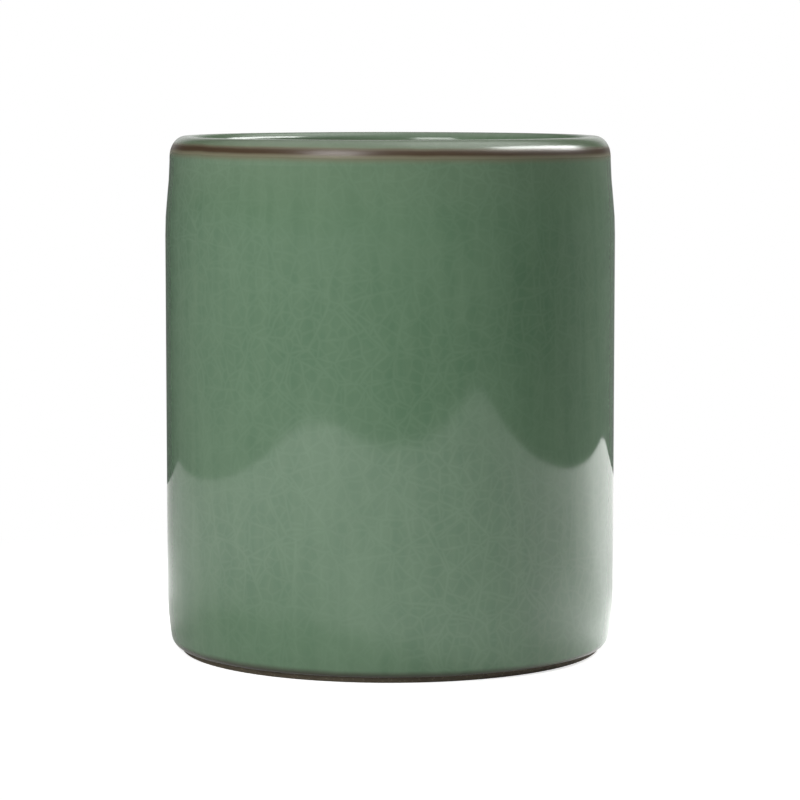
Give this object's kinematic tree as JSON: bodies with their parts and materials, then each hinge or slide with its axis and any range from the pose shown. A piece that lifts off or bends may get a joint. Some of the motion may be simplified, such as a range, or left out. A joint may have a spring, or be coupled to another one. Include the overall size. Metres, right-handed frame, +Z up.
{
  "type": "brush holder pot",
  "caption": "Straight-sided round stoneware brush holder in crackled celadon, with a rounded brown-edged lip, an open well for brushes and a bare foot ring that stands on the desk.",
  "frame": {"origin": "centre of the foot ring, on the table", "axes": "+Z up along the pot's axis, through the mouth; the pot is round, so X and Y are free"},
  "size_m": [0.096, 0.096, 0.11],
  "materials": {
    "iron_stoneware": "matte",
    "celadon_glaze": "gloss",
    "lip_glaze": "gloss"
  },
  "bodies": {
    "root": {"clay_body": "iron_stoneware", "outer_glaze": "celadon_glaze", "lip_glaze": "lip_glaze", "inner_glaze": "celadon_glaze", "base_glaze": "celadon_glaze"}
  },
  "joints": []
}
